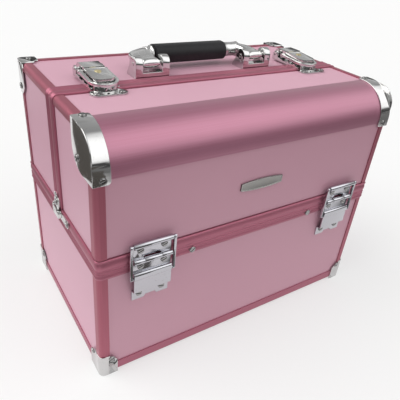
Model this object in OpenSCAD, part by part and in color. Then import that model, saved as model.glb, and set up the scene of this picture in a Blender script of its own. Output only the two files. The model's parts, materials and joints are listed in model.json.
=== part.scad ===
// Makeup case in an aluminium edge frame. A base carries two lids: the front lid
// turns forward and the rear lid turns back on stay hinges at the foot of each lid.
// Each lid draws two cantilever trays out with it on a pair of flat arms.
// The origin is the middle of the footprint, +Z is up and the front faces -Y.

/* [Case] */
// Width over the edge frame
case_w = 360; // [320:1:400]
// Depth over the edge frame, front to rear
case_d = 216; // [206:1:236]
// Height over the edge frame
case_h = 276; // [268:1:300]
// Height of the base, up to the joint below the lids
base_h = 155; // [145:1:160]
// Depth of the front lid
front_lid_d = 94; // [88:1:98]
// Gap between the base and the lids, and between the two lids
lid_gap = 0.6; // [0.4:0.1:1]
// How far each lid turns open
lid_swing = 90; // [60:5:90]

/* [Panels and edge frame] */
// Thickness of a covered panel
panel_t = 4.5; // [4:0.1:5]
// How far the edge frame stands proud of the panels
skin_t = 1.2; // [0.8:0.1:1.5]
// Inner lip of the frame profile that holds a panel's edge
lip_t = 1; // [0.8:0.1:1.2]
// Width of a frame leg on the front, rear and top faces
leg_face = 10; // [8:0.5:12]
// Width of a frame leg on the side faces
leg_side = 12; // [9:0.5:13]
// Width of the side rails' leg on the side faces
leg_rail = 8; // [7:0.5:10]
// Height of the bottom frame
bottom_leg = 14; // [11:0.5:16]
// Rounding of the case's long edges
edge_r = 5; // [4:0.5:5]

/* [Rims] */
// Height of the base rim
rim_h = 22; // [20:0.5:24]
// Depth of the rear lid's rim
rim_d = 21.5; // [19:0.5:24]
// How far the rims stand proud of the edge frame
rim_proud = 1; // [0.8:0.1:1.2]
// Thickness of the rims under the edge frame's face
rim_in = 8; // [7.5:0.1:8.5]
// Depth of solid metal between a rim's lip and its panel slot
rim_lip = 4; // [3:0.5:5]

/* [Round front] */
// Outer radius of the round profile along the front lid's top edge
round_r = 36; // [30:1:40]
// Wall of the round profile
round_t = 1.8; // [1.5:0.1:2.2]
// Flat flange of the round profile over each panel
round_flange = 3.5; // [2:0.5:5]

/* [Chromed corners] */
// Sheet thickness of the corner pieces
corner_t = 1.2; // [1:0.1:1.5]
// Width of the large caps around the round front
cap_w = 15; // [13:0.5:17]
// Length of the large caps past the ends of the round
cap_run = 8; // [6:0.5:10]
// Inner rounding of the large caps' side plates
cap_r = 22; // [16:1:26]
// Reach of the bottom corners along the front and rear edges
foot_run = 18; // [16:1:24]
// Height of the bottom corners
foot_h = 28; // [24:1:34]
// Reach of the rear top corners along the rear edge
crown_run = 18; // [16:1:24]
// Drop of the rear top corners down the rear posts
crown_h = 34; // [26:1:40]

/* [Stay hinges] */
// Distance of each hinge from the middle of the case
hinge_x = 126; // [100:1:135]
// Width of the hinge leaves
hinge_w = 40; // [34:1:46]
// Distance of the hinge pin below the top of the base
hinge_drop = 9.5; // [8:0.5:11]
// Distance of the hinge pin outside the edge frame
hinge_out = 4; // [3.6:0.1:4.4]
// Radius of the hinge pin
pin_r = 1.3; // [1:0.1:1.5]
// Running clearance of pins in their knuckles, on the radius
run_gap = 0.05; // [0.03:0.01:0.08]
// Outer radius of the rolled knuckles
roll_r = 2.8; // [2.6:0.1:3]
// Sheet thickness of the leaves
leaf_t = 1.4; // [1.2:0.1:1.6]
// Width of the knuckle that the base leaf holds
mid_w = 18; // [14:1:22]
// Distance of the stay's top bar above the hinge pin
stay_up = 18.3; // [17:0.1:20]
// Length of the stay below its top bar
stay_l = 37.8; // [36:0.1:40]
// Radius of the stay's top bar
stay_r = 1.5; // [1.3:0.1:1.6]
// Overall width of the stay
stay_w = 48; // [45:1:52]

/* [Side catches] */
// Length of the catch plate on the base rim
catch_l = 48; // [42:1:54]
// Height of the catch plate
catch_h = 9; // [8:0.5:10]

/* [Top latches] */
// Distance of each latch from the middle of the case
latch_x = 130; // [118:1:140]
// Width of the latch base
latch_w = 29; // [27:1:33]
// Distance of the latch's lever pin behind the lid joint
latch_l = 44; // [42:1:48]
// Height of the lever pin above the rear lid's rim
latch_pin_h = 7.6; // [7.2:0.1:8.2]
// Outer width of the bail
bail_w = 30; // [29:0.5:32]
// Overhang of the bail over the front lid
bail_over = 8.4; // [7.6:0.2:9]

/* [Handle] */
// Distance of each handle bracket from the middle of the case
handle_x = 68.5; // [62:0.5:76]
// Width of a handle bracket
bracket_w = 39; // [36:1:42]
// Thickness of a bracket's ears
ear_t = 8; // [6:0.5:9]
// Height of the handle's pin above the lid's panel
handle_pin_h = 14; // [13:0.5:16]
// Distance from the handle's pin to the middle of the grip
handle_reach = 27; // [25:0.5:32]
// Length of the grip
grip_l = 99; // [90:1:104]
// How far the sleeve of the grip sits off the middle of the handle
grip_off = -3.5; // [-4:0.5:4]
// Thickness of the grip
grip_t = 20; // [17:0.5:22]
// Width of the grip
grip_w = 24; // [20:0.5:27]

/* [Trays] */
// Inward and upward offset of the front lid's lower tray pin from the hinge pin
front_p1 = 24; // [22:1:26]
// The same offset for the front lid's upper tray
front_p2 = 60; // [58:1:62]
// Inward and upward offset of the rear lid's lower tray pin
rear_p1 = 32; // [30:1:34]
// The same offset for the rear lid's upper tray
rear_p2 = 70; // [68:1:72]
// Distance from each tray's lid pin to its arm pin
arm_pitch = 34; // [32:1:36]
// Outside height of the front trays
front_tray_h = 30; // [26:1:31]
// Outside height of the rear trays
rear_tray_h = 34; // [30:1:34]
// Height of the front trays' pins above their floors' underside
front_tray_pin = 8.5; // [7:0.5:10]
// Height of the rear trays' pins above their floors' underside
rear_tray_pin = 16.5; // [14:0.5:18]
// Wall thickness of the trays
tray_t = 2; // [1.6:0.1:2.4]
// Gap between a tray's end and the face of the side panel
tray_side = 8; // [7.5:0.1:9]
// Thickness of the flat arms
arm_t = 2; // [1.5:0.1:2.2]
// Width of the flat arms
arm_w = 8; // [7:0.5:9]

/* [Badge and screws] */
// Length of the bare badge
badge_w = 54; // [40:1:60]
// Height of the bare badge
badge_h = 12; // [9:0.5:14]
// Height of the badge's middle above the joint
badge_z = 40; // [30:1:50]
// Radius of the screw heads
head_r = 3.4; // [3:0.1:3.8]
// Height of the screw heads
head_h = 1.2; // [1:0.1:1.5]

/* [Hidden] */
$fn = 48;
eps = 0.02;
hw = case_w / 2;
hd = case_d / 2;
panel_in = skin_t + panel_t;
lip_in = panel_in + lip_t;
split_y = front_lid_d - hd;
front_y = split_y - lid_gap;
lid_z = base_h + lid_gap;
rim_z = base_h - rim_h;
rim_back = split_y + rim_d;
round_y = round_r - hd;
round_z = case_h - round_r;
top_face = case_h - skin_t;
rim_top = case_h + rim_proud;
inner_x = hw - panel_in;
rim_x = hw - rim_in;
pin_y = hd + hinge_out;
pin_z = base_h - hinge_drop;
leaf_back = rim_proud + 0.2;
leaf_front = leaf_back + leaf_t;
stay_out = hinge_out + 0.2;
tray_x = inner_x - tray_side;
arm_x = tray_x + 1.5;
stud_r = 2.5;
rivet_r = 2.2;
open_gap = 0.4;
rear_tray_y = [pin_y - rear_p2 - arm_pitch - 8, hd - 18];
front_tray_y = [14 - hd, rear_tray_y[0] - 4];
tongue_y = split_y + 8;
latch_pin_y = split_y + latch_l;
latch_pin_z = rim_top + latch_pin_h;
bail_z = rim_top + 6.5;
bail_t = 3;
bail_r = bail_w / 2;
bail_bar = 3.2;
bail_y = split_y + bail_r - bail_over;
strike_y = front_y - 0.4;
strike_t = 1.8;
lever_z = bail_z + bail_t + 0.9;
lever_t = 2;
lever_w = 21;
lever_tip_y = split_y - 2;
bail_pin_y = latch_pin_y - 12;
bail_pin_z = bail_z + bail_t / 2;
key_y = split_y + 18.5;
knuckle_r = 5;
handle_y = rim_back + 9.5;
handle_z = top_face + handle_pin_h;
grip_y = handle_y + handle_reach;
grip_z = handle_z + 1;
rose = "#965564";
blush = "#c9a2ae";
chrome = "#c4c6c8";
brass = "#b59a4c";
black = "#1d1d1f";

// ---- Shared shapes ----

// Children and their mirror image across the middle of the width.
module both_sides() {
    children();
    mirror([1, 0, 0]) children();
}

// Children made for the front, moved to the rear half by a mirror.
module to_rear() {
    mirror([0, 1, 0]) children();
}

// A rectangle centred on the origin with rounded corners.
module rounded_rect(w, d, r) {
    translate([r - w / 2, -d / 2]) square([w - 2 * r, d]);
    translate([-w / 2, r - d / 2]) square([w, d - 2 * r]);
    for (x = [r - w / 2, w / 2 - r], y = [r - d / 2, d / 2 - r]) translate([x, y]) circle(r);
}

// The plan of the case, set in from the edge frame's face.
module plan(inset) {
    square([case_w - 2 * inset, case_d - 2 * inset], center = true);
}

// A flat piece drawn in the YZ plane from x to x + t.
module side_plate(x, t) {
    translate([x, 0, 0]) rotate([90, 0, 90]) linear_extrude(t) children();
}

// A flat piece drawn in the XZ plane that stands on the face y and is t thick towards the front.
module front_plate(y, t) {
    translate([0, y, 0]) rotate([90, 0, 0]) linear_extrude(t) children();
}

// A round bar along X between x0 and x1.
module bar_x(x0, x1, y, z, r) {
    translate([x0, y, z]) rotate([0, 90, 0]) cylinder(r = r, h = x1 - x0);
}

// Section of the corner profile: its outer corner lies at the origin, and each leg
// has a slot for a panel's edge.
module corner_section(leg_u, leg_v) {
    difference() {
        union() {
            square([leg_u, lip_in]);
            square([lip_in, leg_v]);
        }
        translate([panel_in, skin_t]) square([leg_u, panel_t]);
        translate([skin_t, lip_in]) square([panel_t, leg_v]);
        difference() {
            translate([-eps, -eps]) square(edge_r + eps);
            translate([edge_r, edge_r]) circle(edge_r);
        }
    }
}

// One bulged band of a rim's section between the heights y0 and y1.
function band(y0, y1, foot, rise, n) =
    [for (i = [0:n]) [foot + rise * sin(180 * i / n), y0 + (y1 - y0) * i / n]];

// Section of a rim: a rolled lip, one broad band and three narrow ribs. Its x is the
// distance outside the centre of the corner rounding, and its lip is at y = 0.
module rim_section(h) {
    face = edge_r + rim_proud / 3;
    rise = rim_proud * 2 / 3;
    polygon(concat(
        [[0, -h], [face, -h]],
        band(-h + 0.4, -h + 4.4, face, rise, 4),
        band(-h + 5, -h + 7.4, face, rise * 0.8, 4),
        band(-h + 8, -h + 10.4, face, rise * 0.8, 4),
        band(-h + 11.2, -3, face, rise, 8),
        band(-2.4, -0.1, face, rise, 6),
        [[edge_r - 1, 0], [0, 0]]
    ));
}

// A screw head with a slot, seated on the XY plane.
module screw_head() {
    difference() {
        union() {
            cylinder(r = head_r, h = head_h * 0.6);
            cylinder(r1 = head_r, r2 = head_r * 0.8, h = head_h);
        }
        translate([-head_r, -0.5, head_h * 0.45]) cube([2 * head_r, 1, head_h]);
    }
}

// A screw head on a front face, a side face or a top face.
module front_screw(x, y, z, turn = 20) {
    translate([x, y, z]) rotate([90, turn, 0]) screw_head();
}

module side_screw(x, y, z, turn = 50) {
    translate([x, y, z]) rotate([0, 90, 0]) rotate([0, 0, turn]) screw_head();
}

module top_screw(x, y, z, turn = 30) {
    translate([x, y, z]) rotate([0, 0, turn]) screw_head();
}

// ---- Base ----

module base_front_panel() {
    color(blush) translate([-inner_x, skin_t - hd, lip_in])
        cube([2 * inner_x, panel_t, base_h - rim_lip - lip_in]);
}

module base_rear_panel() {
    color(blush) to_rear() base_front_panel();
}

module base_side_panels() {
    color(blush) both_sides() translate([inner_x, lip_in - hd, lip_in])
        cube([panel_t, case_d - 2 * lip_in, base_h - rim_lip - lip_in]);
}

module base_bottom_panel() {
    color(black) translate([0, 0, skin_t]) linear_extrude(panel_t) plan(panel_in);
}

module base_corner_posts() {
    color(rose) both_sides() for (m = [0, 1]) mirror([0, m, 0])
        translate([-hw, -hd, bottom_leg]) linear_extrude(rim_z - bottom_leg)
            corner_section(leg_face, leg_side);
}

// The bottom frame holds the floor panel from below and the wall panels in its slot.
module base_bottom_frame() {
    color(rose) difference() {
        intersection() {
            linear_extrude(bottom_leg) rounded_rect(case_w, case_d, edge_r);
            front_plate(hd, case_d) translate([0, case_h / 2]) rounded_rect(case_w, case_h, edge_r);
            side_plate(-hw, case_w) translate([0, case_h / 2]) rounded_rect(case_d, case_h, edge_r);
        }
        translate([0, 0, lip_in]) linear_extrude(bottom_leg) difference() {
            plan(skin_t);
            plan(panel_in);
        }
        translate([0, 0, skin_t]) linear_extrude(panel_t) plan(panel_in);
        translate([0, 0, panel_in]) linear_extrude(bottom_leg) plan(lip_in);
        translate([0, 0, -1]) linear_extrude(bottom_leg) plan(leg_side);
    }
}

// The rim runs round the top of the base and its slot takes the wall panels' top edges.
module base_rim() {
    color(rose) difference() {
        union() {
            for (turn = [0, 180]) rotate([0, 0, turn]) {
                rim_run(hw, hd);
                rotate([0, 0, 90]) rim_run(hd, hw);
            }
            translate([0, 0, rim_z]) linear_extrude(rim_h) difference() {
                plan(edge_r - 0.1);
                plan(rim_in);
            }
        }
        translate([0, 0, rim_z - eps]) linear_extrude(rim_h - rim_lip + eps) difference() {
            plan(skin_t);
            plan(panel_in);
        }
    }
}

// One straight run of the rim on the +x side of a rectangle a by b, with the corner after it.
module rim_run(a, b) {
    translate([a - edge_r, b - edge_r, base_h]) {
        rotate([90, 0, 0]) linear_extrude(2 * (b - edge_r)) rim_section(rim_h);
        rotate_extrude(angle = 90) rim_section(rim_h);
    }
}

// Soft lining: a floor sheet and four wall sheets up to the rim.
module base_lining() {
    lining_t = 1.2;
    color(black) difference() {
        translate([0, 0, panel_in]) linear_extrude(rim_z - panel_in) plan(lip_in + 0.1);
        translate([0, 0, panel_in + lining_t]) linear_extrude(rim_z) plan(lip_in + 0.1 + lining_t);
    }
}

// A chromed corner on each bottom corner of the base, bent round three faces.
module base_corner_feet() {
    color(chrome) both_sides() for (m = [0, 1]) mirror([0, m, 0]) translate([-hw, -hd, 0])
        corner_shell(foot_run, foot_run + 7, foot_h);
}

// Three-faced corner sheet: its inner corner lies at the origin and it reaches run_x,
// run_y and run_z along the edges. Its floor lies level with the underside of the frame.
module corner_shell(run_x, run_y, run_z) {
    r = edge_r + corner_t;
    cut = 9;
    difference() {
        intersection() {
            translate([-corner_t, -corner_t, 0]) cube([run_x + corner_t, run_y + corner_t, run_z]);
            translate([-corner_t, -corner_t, 0]) linear_extrude(run_z) {
                translate([r, 0]) square([run_x, run_y + r]);
                translate([0, r]) square([run_x + r, run_y]);
                translate([r, r]) circle(r);
            }
            rotate([90, 0, 90]) translate([0, 0, -corner_t]) linear_extrude(run_x + corner_t)
                polygon([[-corner_t, 0], [run_y, 0], [run_y, run_z - cut], [run_y - cut, run_z],
                    [-corner_t, run_z]]);
            rotate([90, 0, 0]) translate([0, 0, -run_y]) linear_extrude(run_y + corner_t)
                polygon([[-corner_t, 0], [run_x, 0], [run_x, run_z - cut], [run_x - cut, run_z],
                    [-corner_t, run_z]]);
        }
        difference() {
            translate([0, 0, -1]) cube([run_x + 1, run_y + 1, run_z + 2]);
            translate([0, 0, -2]) linear_extrude(run_z + 4) difference() {
                translate([-eps, -eps]) square(edge_r + eps);
                translate([edge_r, edge_r]) circle(edge_r);
            }
        }
    }
}

// Catch plates on the base rim: a flat plate with a raised pocket for the lid's tongue.
module base_side_catches() {
    y0 = split_y - 23;
    z0 = base_h - catch_h - 1;
    color(chrome) both_sides() {
        side_plate(hw + rim_proud, corner_t) translate([y0 + catch_l / 2, z0 + catch_h / 2])
            rounded_rect(catch_l, catch_h, 3);
        difference() {
            side_plate(hw + rim_proud + corner_t, 2.6) translate([tongue_y, z0 + catch_h / 2])
                rounded_rect(19, catch_h, 3);
            translate([hw + rim_proud + corner_t - 0.01, tongue_y - 6.5, z0 + 1.5])
                cube([1.5, 13, catch_h]);
        }
    }
}

module base_screws() {
    y0 = split_y - 23;
    inset = head_r + 0.5;
    rim_face = hd + rim_proud;
    color(chrome) both_sides() {
        for (m = [0, 1]) mirror([0, m, 0]) {
            front_screw(80, -rim_face, rim_z + 4, 35);
            for (x = [-12.5, 12.5]) {
                front_screw(hinge_x + x, -hd - leaf_front, pin_z - 7);
                front_screw(hinge_x + x, skin_t - hd - leaf_t, rim_z - 30.4, -15);
            }
            front_screw(hw - foot_run / 2 - 2.5, -hd - corner_t, foot_h - 4.5);
            side_screw(hw + corner_t, foot_run - hd, foot_h - 4.5);
        }
        side_screw(hw + rim_proud + corner_t, y0 + inset, base_h - 1 - catch_h / 2);
        side_screw(hw + rim_proud + corner_t, y0 + catch_l - inset, base_h - 1 - catch_h / 2);
    }
}

// Studs on the inner face of the base rim that carry the tray arms.
module arm_pivot_studs() {
    color(chrome) both_sides() for (m = [0, 1]) mirror([0, m, 0])
        stud(rim_x, arm_x + arm_t + 0.5, arm_x - 0.3, arm_pitch - pin_y, pin_z, 1);
}

// A stepped stud along -X: a collar from x_wall to x_collar, a journal on to x_tip,
// and a flat head past the tip.
module stud(x_wall, x_collar, x_tip, y, z, head) {
    bar_x(x_collar, x_wall, y, z, stud_r + 1.5);
    bar_x(x_tip, x_collar, y, z, stud_r);
    if (head > 0) bar_x(x_tip - head, x_tip, y, z, stud_r + 1.5);
}

// ---- Stay hinges: each is drawn at the front, x = 0, and set out on both sides ----

module at_hinges() {
    both_sides() translate([hinge_x, 0, 0]) children();
}

// Section of the base leaf. Its x runs outward from the edge frame's face.
module base_leaf_section() {
    joggle_z = rim_z - 24;
    foot_z = rim_z - 38;
    translate([leaf_back, pin_z - 14]) square([leaf_t, 14 - roll_r / 2]);
    for (z = [rim_z - 3.2, rim_z - 6.8]) translate([hinge_out, z]) circle(roll_r - 0.3);
    translate([hinge_out, rim_z - 6.8]) square([roll_r - 0.3, 3.6]);
    translate([leaf_back, rim_z - 3.2]) square([leaf_t, 3]);
    translate([hinge_out + 0.3, joggle_z]) square([leaf_t, 18]);
    polygon([[hinge_out + 0.3, joggle_z], [hinge_out + 0.3 + leaf_t, joggle_z],
        [leaf_t - skin_t, joggle_z - 2.6], [-skin_t, joggle_z - 1.6]]);
    translate([-skin_t, foot_z]) square([leaf_t, joggle_z - 1.6 - foot_z]);
}

// Base leaf with the middle knuckle, the double roll, the raised guide for the stay
// and the foot with its arched notch.
module hinge_base_leaf() {
    difference() {
        union() {
            translate([-hinge_w / 2, 0, 0]) leaf_prism(hinge_w) base_leaf_section();
            bar_x(-mid_w / 2, mid_w / 2, -pin_y, pin_z, roll_r);
        }
        for (s = [-1, 1]) translate([s * (mid_w / 2 + 8), -pin_y, pin_z])
            cube([16.2, 8, 2 * roll_r + 0.6], center = true);
        bar_x(-hinge_w, hinge_w, -pin_y, pin_z, pin_r + run_gap);
        translate([0, skin_t - hd, rim_z - 40]) rotate([90, 0, 0])
            linear_extrude(8, center = true) polygon([[-9, 0], [9, 0], [5, 5], [-5, 5]]);
    }
}

// Extrudes a section along +X for w, with the section's x turned to the outward direction -Y.
module leaf_prism(w) {
    translate([0, -hd, 0]) mirror([0, 1, 0]) rotate([90, 0, 90]) linear_extrude(w) children();
}

module front_hinge_base_leaves() {
    color(chrome) at_hinges() hinge_base_leaf();
}

module rear_hinge_base_leaves() {
    color(chrome) to_rear() front_hinge_base_leaves();
}

// Lid leaf with the two outer knuckles, a notch between them, a seat on the lid's panel
// and the curl that holds the stay.
module hinge_lid_leaf() {
    knuckle_w = (hinge_w - mid_w) / 2 - 0.2;
    difference() {
        union() {
            translate([-hinge_w / 2, 0, 0]) leaf_prism(hinge_w) {
                translate([leaf_back, pin_z + 1]) square([leaf_t, stay_up - 1]);
                translate([-skin_t, base_h + 1.6]) square([leaf_back + skin_t + 0.1, 5]);
                translate([stay_out, pin_z + stay_up]) circle(roll_r);
            }
            for (s = [-1, 1]) translate([s * (mid_w + knuckle_w) / 2 + s * 0.2, 0, 0])
                bar_x(-knuckle_w / 2, knuckle_w / 2, -pin_y, pin_z, roll_r);
        }
        translate([-mid_w / 2 - 0.2, -pin_y - 4, pin_z - 4]) cube([mid_w + 0.4, 8, roll_r + 4.3]);
        front_plate(-hd - leaf_front + leaf_t / 2, leaf_t) translate([0, pin_z + roll_r])
            polygon([[-mid_w / 2, 0], [mid_w / 2, 0], [mid_w / 2 - 1, 3.4], [3 - mid_w / 2, 3.4]]);
        bar_x(-hinge_w, hinge_w, -pin_y, pin_z, pin_r + run_gap);
        bar_x(-hinge_w, hinge_w, -hd - stay_out, pin_z + stay_up, stay_r + 0.1);
    }
}

module front_hinge_lid_leaves() {
    color(chrome) at_hinges() hinge_lid_leaf();
}

module rear_hinge_lid_leaves() {
    color(chrome) to_rear() front_hinge_lid_leaves();
}

module front_hinge_pins() {
    color(chrome) at_hinges() bar_x(-hinge_w / 2, hinge_w / 2, -pin_y, pin_z, pin_r);
}

module rear_hinge_pins() {
    color(chrome) to_rear() front_hinge_pins();
}

// Stay: a flat frame that hangs from the lid leaf's curl, with an inward ear at each foot.
module hinge_stay() {
    side_t = 2.4;
    ear = (stay_w - hinge_w) / 2 - 0.5;
    top_z = pin_z + stay_up;
    y = -hd - stay_out;
    bar_x(-stay_w / 2, stay_w / 2, y, top_z, stay_r);
    for (s = [0, 1]) mirror([s, 0, 0]) {
        translate([stay_w / 2 - side_t, y - 1.4, top_z - stay_l]) cube([side_t, 2.8, stay_l]);
        bar_x(stay_w / 2 - side_t, stay_w / 2, y, top_z, stay_r + 0.6);
        bar_x(stay_w / 2 - ear, stay_w / 2, y, top_z - stay_l, stay_r + 0.1);
    }
}

module front_hinge_stays() {
    color(chrome) at_hinges() hinge_stay();
}

module rear_hinge_stays() {
    color(chrome) to_rear() front_hinge_stays();
}

// ---- Front lid ----

module front_lid_front_panel() {
    color(blush) translate([-inner_x, skin_t - hd, lid_z])
        cube([2 * inner_x, panel_t, round_z - lid_z]);
}

module front_lid_top_panel() {
    color(blush) translate([-inner_x, round_y, case_h - panel_in])
        cube([2 * inner_x, front_y - round_y, panel_t]);
}

// Outline of the front lid seen from the side, set in from the frame's face.
module front_lid_outline(inset) {
    r = round_r - inset;
    translate([inset - hd, lid_z]) square([front_lid_d - lid_gap - inset, round_z - lid_z]);
    translate([round_y, lid_z]) square([front_y - round_y, case_h - inset - lid_z]);
    translate([round_y, round_z]) circle(r, $fn = 96);
}

module front_lid_side_panels() {
    color(blush) both_sides() side_plate(inner_x, panel_t) front_lid_outline(lip_in);
}

// Front posts, top side rails and the quarter rings that join them under the caps.
module front_lid_edge_frame() {
    color(rose) both_sides() {
        translate([-hw, -hd, lid_z]) linear_extrude(round_z - lid_z)
            corner_section(leg_face, leg_side);
        translate([hw, round_y, case_h]) rotate([-90, 0, 0]) mirror([1, 0, 0])
            linear_extrude(front_y - round_y) corner_section(leg_face, leg_rail);
        translate([0, round_y, round_z]) side_plate(hw - skin_t, skin_t) difference() {
            quarter(round_r - round_t);
            circle(round_r - leg_side);
        }
    }
}

// Round profile: a quarter-round wall whose two ends hold the front and top panels.
module front_lid_round_profile() {
    color(rose) translate([0, round_y, round_z]) {
        side_plate(-hw, case_w) difference() {
            quarter(round_r);
            circle(round_r - round_t, $fn = 96);
        }
        side_plate(leg_face - hw, case_w - 2 * leg_face) {
            round_end();
            mirror([1, 1]) round_end();
        }
    }
}

// The end of the round profile above a panel: a flange outside, a web and an inner lip.
module round_end() {
    translate([0, round_r - skin_t]) square([round_flange, skin_t]);
    translate([-1.6, round_r - lip_in]) square([1.6, lip_in - round_t / 2]);
    translate([-1.6, round_r - lip_in]) square([1.6 + round_flange * 2, lip_t]);
}

// Quarter of a disc, towards the front and up from its centre.
module quarter(r) {
    intersection() {
        circle(r, $fn = 96);
        translate([-r, 0]) square(r);
    }
}

// Large chromed caps: a side plate, and a band bent round the profile's end.
module front_lid_corner_caps() {
    outer = round_r + corner_t;
    color(chrome) both_sides() translate([0, round_y, round_z]) {
        side_plate(hw, corner_t) cap_side(outer);
        side_plate(hw - cap_w, cap_w) cap_band(outer);
    }
}

// Side plate of a cap, with its inner corner rounded by cap_r.
module cap_side(outer) {
    inset = cap_r - cap_run;
    quarter(outer);
    translate([-inset, inset]) circle(cap_r);
    translate([0, inset]) square([cap_run, outer - inset]);
    translate([-outer, -cap_run]) square([outer - inset, cap_run]);
}

module cap_band(outer) {
    difference() {
        quarter(outer);
        circle(round_r, $fn = 96);
    }
    translate([-outer, -cap_run]) square([corner_t, cap_run]);
    translate([0, round_r]) square([cap_run, corner_t]);
}

// Bare badge: a plate with bowed long sides and a raised border.
module front_lid_badge() {
    color(chrome) translate([0, 0, base_h + badge_z]) difference() {
        front_plate(skin_t - hd, 1.6) badge_outline(0);
        front_plate(skin_t - hd - 1.2, 1) badge_outline(1);
    }
}

module badge_outline(inset) {
    bow = 2;
    r = (badge_w * badge_w / 4 + bow * bow) / (2 * bow);
    intersection() {
        square([badge_w - 2 * inset, badge_h], center = true);
        translate([0, badge_h / 2 - r - inset]) circle(r, $fn = 180);
        translate([0, r + inset - badge_h / 2]) circle(r, $fn = 180);
    }
}

// Strike of each top latch: a winged plate, a curved wall that stands under the bail, and
// the hook inside the loop that the bail pulls on.
module latch_strikes() {
    wing = 18.5;
    tip = 3;
    wall_top = bail_z - 0.6;
    hook_y = bail_y - bail_r + bail_bar + 1;
    color(chrome) both_sides() translate([latch_x, 0, 0]) {
        translate([0, strike_y, top_face]) linear_extrude(strike_t) polygon([[tip - wing, 0],
            [wing - tip, 0], [wing, -6], [wing - 0.8, -10], [wing - tip, -13], [wing - 2 * tip, -14.5],
            [2 * tip - wing, -14.5], [tip - wing, -13], [0.8 - wing, -10], [-wing, -6]]);
        difference() {
            translate([0, bail_y, top_face + 1]) cylinder(r = bail_r - 0.6, h = wall_top - top_face - 1);
            translate([0, bail_y, top_face]) cylinder(r = bail_r - 2.2, h = 2 * bail_z);
            translate([-bail_w, strike_y, top_face]) cube([2 * bail_w, 2 * bail_w, bail_z]);
            translate([0, bail_y, top_face + 4.6]) rotate([90, 0, 0]) cylinder(r = 1.2, h = bail_w);
        }
        translate([-4, hook_y, top_face + 1]) cube([8, 1.4, bail_z + 2 - top_face - 1]);
    }
}

module front_lid_screws() {
    color(chrome) both_sides() {
        for (x = [-12.5, 12.5]) {
            front_screw(hinge_x + x, -hd - leaf_front, base_h + 1.9);
            top_screw(latch_x + x, strike_y - 9.6, top_face + strike_t);
        }
        top_screw(hw - 8, round_y + 3.5, case_h + corner_t);
        front_screw(hw - 8, -hd - corner_t, round_z - 3.5);
        side_screw(hw + corner_t, round_y - 4, round_z + 4);
    }
}

module front_tray_studs() {
    color(chrome) both_sides() for (p = [front_p1, front_p2])
        stud(inner_x, tray_x + 0.4, tray_x - tray_t, p - pin_y, pin_z + p, 0);
}

// ---- Rear lid ----

module rear_lid_back_panel() {
    color(blush) translate([-inner_x, hd - panel_in, lid_z])
        cube([2 * inner_x, panel_t, case_h - lip_in - lid_z]);
}

module rear_lid_side_panels() {
    color(blush) both_sides() translate([inner_x, split_y + rim_lip, lid_z])
        cube([panel_t, hd - lip_in - split_y - rim_lip, case_h - lip_in - lid_z]);
}

module rear_lid_top_panel() {
    color(blush) translate([-inner_x, split_y + rim_lip, case_h - panel_in])
        cube([2 * inner_x, hd - panel_in - split_y - rim_lip, panel_t]);
}

// Rear posts, rear top rail and the two top side rails, with slots for the panels.
module rear_lid_edge_frame() {
    far = 2 * case_w;
    color(rose) difference() {
        intersection() {
            translate([-hw, rim_back, lid_z]) cube([case_w, hd - rim_back, case_h - lid_z]);
            linear_extrude(case_h) rounded_rect(case_w, case_d, edge_r);
            front_plate(hd, case_d) translate([0, case_h / 2]) rounded_rect(case_w, case_h, edge_r);
            side_plate(-hw, case_w) translate([0, case_h / 2]) rounded_rect(case_d, case_h, edge_r);
        }
        translate([lip_in - hw, -far, 0]) cube([case_w - 2 * lip_in, far + hd - lip_in, case_h - lip_in]);
        for (s = [0, 1]) mirror([s, 0, 0]) {
            translate([inner_x, -far, 0]) cube([panel_t, far + hd - lip_in, case_h - lip_in]);
            translate([hw - lip_in - 1, -far, 0])
                cube([lip_in + 2, far + hd - leg_side, case_h - leg_rail]);
        }
        translate([-inner_x, -far, case_h - panel_in])
            cube([2 * inner_x, far + hd - panel_in, panel_t]);
        translate([-inner_x, hd - panel_in, 0]) cube([2 * inner_x, panel_t, case_h - lip_in]);
        translate([leg_face - hw, -far, case_h - lip_in - 1])
            cube([case_w - 2 * leg_face, far + hd - leg_face, lip_in + 2]);
        translate([leg_face - hw, hd - lip_in - 1, 0])
            cube([case_w - 2 * leg_face, lip_in + 2, case_h - leg_face]);
    }
}

// The rim frames the rear lid's open front on three sides.
module rear_lid_rim() {
    up = case_h - edge_r - lid_z;
    color(rose) translate([0, split_y, 0]) rotate([90, 0, 0]) difference() {
        union() {
            both_sides() translate([hw - edge_r, case_h - edge_r, 0]) {
                rotate([90, 0, 0]) linear_extrude(up) rim_section(rim_d);
                rotate_extrude(angle = 90) rim_section(rim_d);
            }
            translate([edge_r - hw, case_h - edge_r, 0]) rotate([0, 0, 90]) rotate([90, 0, 0])
                linear_extrude(case_w - 2 * edge_r) rim_section(rim_d);
            translate([0, 0, -rim_d]) linear_extrude(rim_d) difference() {
                arch(edge_r - 0.1);
                arch(rim_in);
            }
        }
        translate([0, 0, -rim_d - 1]) linear_extrude(rim_d - rim_lip + 1) difference() {
            arch(skin_t);
            arch(panel_in);
        }
    }
}

// Front view of the rear lid, set in from the frame's face on the sides and the top.
module arch(inset) {
    drop = inset < rim_in ? 0 : 1;
    translate([inset - hw, lid_z - drop]) square([case_w - 2 * inset, case_h - inset - lid_z + drop]);
}

// Chromed corners over the rear lid's two upper rear corners.
module rear_lid_top_corners() {
    color(chrome) both_sides() translate([-hw, hd, case_h]) mirror([0, 1, 0]) mirror([0, 0, 1])
        union() {
            corner_shell(crown_run, crown_run + 4, crown_h);
            crown_top();
        }
}

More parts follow.
